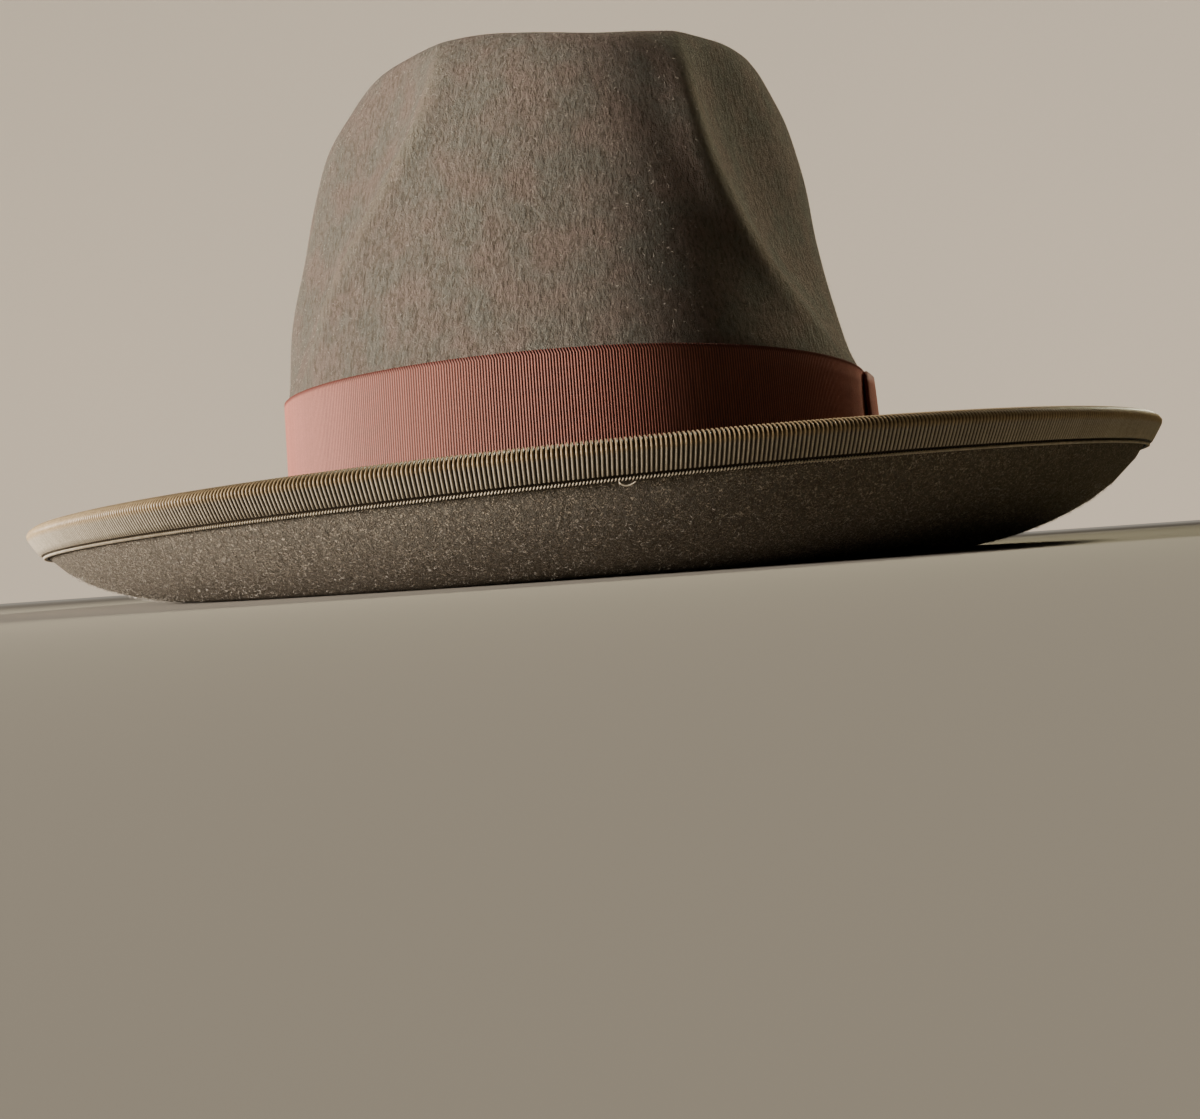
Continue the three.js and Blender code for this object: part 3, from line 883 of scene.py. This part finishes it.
def edge_stitches(material):
    """Small slanted stitches that hold the binding's lower edge to the felt."""
    length = FULL_TURN * (BRIM_HALF_WIDTH + BRIM_HALF_LENGTH) / 2
    rank = round(math.sqrt(length / STITCH_PITCH))
    middle = BLANK_EDGE - (BINDING_UNDER - SELVEDGE / 2)
    squeeze = FULL_TURN * middle / length
    blank = bmesh.new()
    shape = (
        Matrix.Translation((0, -middle, 0))
        @ Matrix.Diagonal((squeeze, 1, 1, 1))
        @ Matrix.Rotation(math.radians(40), 4, "Z")
        @ Matrix.Diagonal((0.22, 0.5, 0.36, 1))
    )
    bmesh.ops.create_icosphere(blank, subdivisions=1, radius=1, matrix=shape)
    copied_round(blank, rank)

    def block(points):
        turn, row = turn_and_row(points)
        lift = points[:, 2] - RIBBON_FAR + BINDING_DEPTH * 0.6
        return off_felt(turn, edge_station(turn, BLANK_EDGE - row), lift), {}

    return finish_piece("edge_stitches", blank, block, material)


def thread_end(material):
    """The end of the binding's sewing thread, which sticks out in front and tapers."""
    length, start = 3.8, math.radians(-1.8)
    blank = strip_blank([(x, 0) for x in np.linspace(0, length, 10)], 0.34, 4, 0.26)
    below = RIBBON_FAR + 0.3

    def block(points):
        along, across, level = points.T
        turn = (start + along / BRIM_HALF_LENGTH) % FULL_TURN
        share = along / length
        inset = 6.6 + 0.8 * np.sin(math.pi * share) + across * (1.2 - 0.8 * share)
        return off_felt(turn, edge_station(turn, inset), -below - np.abs(level)), {}

    return finish_piece("thread_end", blank, block, material)


# Loose fibres of the felt: the root of their number on each side of it, their radius, and
# their radius in the blank, which is made in units of its own
FIBRE_RANK = 105
FIBRE_RADIUS = 0.036
BLANK_FIBRE_RADIUS = 1e-3


def strewn(zones, count, dice):
    """Turns and stations strewn evenly over zones of the felt."""
    stations = np.concatenate([np.arange(start, end, 0.02) for start, end in zones])
    grids = np.meshgrid(np.radians(np.arange(0, 360, 2)), stations)
    turn, station = (grid.ravel() for grid in grids)
    step = 0.01
    around = felt_point(turn + step, station) - felt_point(turn - step, station)
    along = felt_point(turn, np.minimum(station + step, EDGE)) - felt_point(turn, station - step)
    area = np.linalg.norm(np.cross(around, along), axis=1)
    chosen = dice.choice(len(area), count, p=area / area.sum())
    turns = turn[chosen] + dice.uniform(-0.018, 0.018, count)
    return turns, station[chosen] + dice.uniform(-0.01, 0.01, count)


def loose_fibres(name, material, zones, side, length, curl, rise, seed):
    """Short curled fibres rooted in the felt, on its outside (side 1) or its underside (-1).
    They are copies of one upright prism, whose turn tells one fibre from the next. length,
    curl in radians and rise off the felt are each drawn between two values."""
    count = FIBRE_RANK ** 2
    radius = 10.0
    blank = bmesh.new()
    bmesh.ops.create_cone(
        blank, cap_ends=True, cap_tris=True, segments=3, depth=1,
        radius1=BLANK_FIBRE_RADIUS, radius2=0.6 * BLANK_FIBRE_RADIUS,
        matrix=Matrix.Translation((0, -radius, 0.5)),
    )
    uprights = [edge for edge in blank.edges if abs(edge.verts[0].co.z - edge.verts[1].co.z) > 0.5]
    bmesh.ops.subdivide_edges(blank, edges=uprights, cuts=1, use_grid_fill=True)
    copied_round(blank, FIBRE_RANK)

    def block(points):
        turn, row = turn_and_row(points)
        place = turn / FULL_TURN * count
        which = np.round(place).astype(int) % count
        thicker = FIBRE_RADIUS / BLANK_FIBRE_RADIUS
        across = (place - np.round(place)) * FULL_TURN * radius / count * thicker
        deep = (row - radius) * thicker
        share = points[:, 2]
        dice = np.random.default_rng(seed)
        root_turn, root_station = strewn(zones, count, dice)
        root = felt_point(root_turn, root_station)
        normal = felt_normal(root_turn, root_station) * side
        after = felt_point(root_turn, root_station + 0.01)
        down = unit(after - felt_point(root_turn, root_station - 0.01))
        aside = np.cross(normal, down)
        long = dice.uniform(*length, count)[which]
        bend = dice.uniform(*curl, count)[which] * dice.choice((-1, 1), count)[which]
        start = dice.uniform(0, FULL_TURN, count)[which]
        lift = dice.uniform(*rise, count)[which] * np.sin(share * 2.0) - 0.1
        heading = start + bend * share
        run = long / bend * (np.sin(heading) - np.sin(start)) - across * np.sin(heading)
        drift = long / bend * (np.cos(start) - np.cos(heading)) + across * np.cos(heading)
        off = FELT_WALL / 2 + lift + deep
        ways = zip((run, drift, off), (down, aside, normal))
        return root[which] + sum(size[:, None] * way[which] for size, way in ways), {}

    return finish_piece(name, blank, block, material)


# Stage


CAMERA_PLACE = Vector((-27.6, -472.75, 4.0)) * MM
CAMERA_YAW = math.radians(3.0)
CAMERA_ROLL = 0.070
FOCAL_PIXELS = 1542.0
IMAGE_WIDTH = 1200
PRINCIPAL_X = 588.4
SENSOR_WIDTH = 36.0


def camera():
    """The photograph's view: level, close in front, and a little over the floor."""
    data = bpy.data.cameras.new("camera")
    data.sensor_fit = "HORIZONTAL"
    data.sensor_width = SENSOR_WIDTH
    data.lens = FOCAL_PIXELS / IMAGE_WIDTH * SENSOR_WIDTH
    data.clip_start = 0.001
    data.clip_end = 50
    eye = bpy.data.objects.new("camera", data)
    bpy.context.scene.collection.objects.link(eye)
    aside = math.atan((IMAGE_WIDTH / 2 - PRINCIPAL_X) / FOCAL_PIXELS)
    turned = Matrix.Rotation(-CAMERA_YAW - aside, 4, "Z")
    level = Matrix.Rotation(math.radians(90), 4, "X")
    rolled = Matrix.Rotation(-CAMERA_ROLL, 4, "Z")
    eye.matrix_world = Matrix.Translation(CAMERA_PLACE) @ turned @ level @ rolled
    bpy.context.scene.camera = eye


# How far from the hat the boards start to glow, and where they glow fully, in metres
GLOW_START, GLOW_FULL = 0.6, 1.4


def board_material(name, colour_a, colour_b, glow):
    """Matt painted board, pale and warm. Far from the hat it glows, so that it stays even."""
    material, tree = new_material(name)
    place = place_of(tree)
    clouds = add_node(tree, "TexNoise", {"Vector": place, "Scale": 1.2, "Detail": 2.0}).outputs["Fac"]
    colour = mixed(tree, clouds, linear(colour_a), linear(colour_b))
    away = add_node(tree, "VectorMath", {0: place}, operation="LENGTH").outputs["Value"]
    finish_material(
        tree, colour, bumped(tree, clouds, 0.2, 0.05), Roughness=0.85, Specular_IOR_Level=0.1,
        Emission_Color=linear(colour_b),
        Emission_Strength=ranged(tree, away, GLOW_START, GLOW_FULL, end=glow),
    )
    return material


def staged(name, profile, material):
    """A round piece of the stage, spun from its section, with its face to the hat."""
    blank = bmesh.new()
    verts = [blank.verts.new((x, 0, z)) for x, z in profile]
    edges = [blank.edges.new(pair) for pair in zip(verts, verts[1:])]
    spin_round(blank, verts + edges, FULL_TURN, 96, use_merge=True)
    bmesh.ops.remove_doubles(blank, verts=blank.verts, dist=1e-6)
    for face in blank.faces:
        face.smooth = True
    mesh = bpy.data.meshes.new(name)
    blank.to_mesh(mesh)
    blank.free()
    mesh.materials.append(material)
    made = bpy.data.objects.new(name, mesh)
    bpy.context.scene.collection.objects.link(made)
    return made


def stage():
    """A pale floor, and a pale wall all the way round that doesn't light the hat."""
    radius, height = 2.4, 3.2
    floor_board = board_material("painted_floor", 0xB0A89B, 0xBAB2A5, 0.5)
    wall_board = board_material("painted_wall", 0xC6BBAC, 0xD8C8B2, 0.62)
    staged("floor", [(0, 0), (radius, 0)], floor_board)
    wall = staged("wall", [(radius, 0), (radius, height)], wall_board)
    wall.visible_diffuse = False
    wall.visible_glossy = False
    wall.visible_shadow = False


HAT_MIDDLE = Vector((0, 0, 0.07))


def area_light(name, azimuth, elevation, distance, size, power, colour, spread=180):
    """A soft square light that looks at the hat. Azimuth 0 is in front and 90 on the wearer's
    left. A smaller spread keeps the beam on the hat, as the grid of a softbox does."""
    data = bpy.data.lights.new(name, "AREA")
    data.size = size
    data.energy = power
    data.color = linear(colour)[:3]
    data.spread = math.radians(spread)
    lamp = bpy.data.objects.new(name, data)
    a, e = math.radians(azimuth), math.radians(elevation)
    way = Vector((math.sin(a) * math.cos(e), -math.cos(a) * math.cos(e), math.sin(e)))
    lamp.location = HAT_MIDDLE + way * distance
    lamp.rotation_mode = "QUATERNION"
    lamp.rotation_quaternion = way.to_track_quat("Z", "Y")
    bpy.context.scene.collection.objects.link(lamp)


def lights():
    """A warm key light, low on the wearer's right, a weak fill far on the left and a dim room."""
    area_light("key", -70, 6.0, 1.5, 0.4, 60, 0xFFF8F0)
    area_light("far_fill", 128, 36, 1.5, 0.5, 0.95, 0xF4EED0, spread=26)
    world = bpy.data.worlds.new("studio")
    world.use_nodes = True
    background = world.node_tree.nodes["Background"]
    background.inputs["Color"].default_value = linear(0xD8D2C6)
    background.inputs["Strength"].default_value = 0.03
    bpy.context.scene.world = world


# Each ribbon's groove colour is painted shade. The tan's golden edge colour is painted light on the
# binding's upper side; the rose's dark red edge is the selvedges' own colour and the painted shade at
# the bow's front end.
rose_ribbon = ribbon_material("rayon_grosgrain_rose", 0x5C3E33, 0xB87261, 0x6E2F25, 0.2, 0.65)
tan_ribbon = ribbon_material("rayon_grosgrain_tan", 0x2C2318, 0xC6B9A2, 0xBC9F72, 0.42, 0.4)
crown_and_brim(felt_material())
edge_ribbon(tan_ribbon)
crown_ribbon(rose_ribbon)
bow_loops(rose_ribbon)
bow_wrap(rose_ribbon)
head_leather(leather_material())
cream_thread = thread_material()
edge_stitches(cream_thread)
thread_end(cream_thread)
fur = fibre_material()
loose_fibres("fibres_above", fur, FIBRES_ABOVE, 1, (0.5, 1.5), (0.6, 2.2), (0.1, 0.5), 21)
loose_fibres("fibres_below", fur, FIBRES_BELOW, -1, (0.4, 1.4), (1.0, 4.5), (0.15, 0.6), 22)
stage()
lights()
camera()
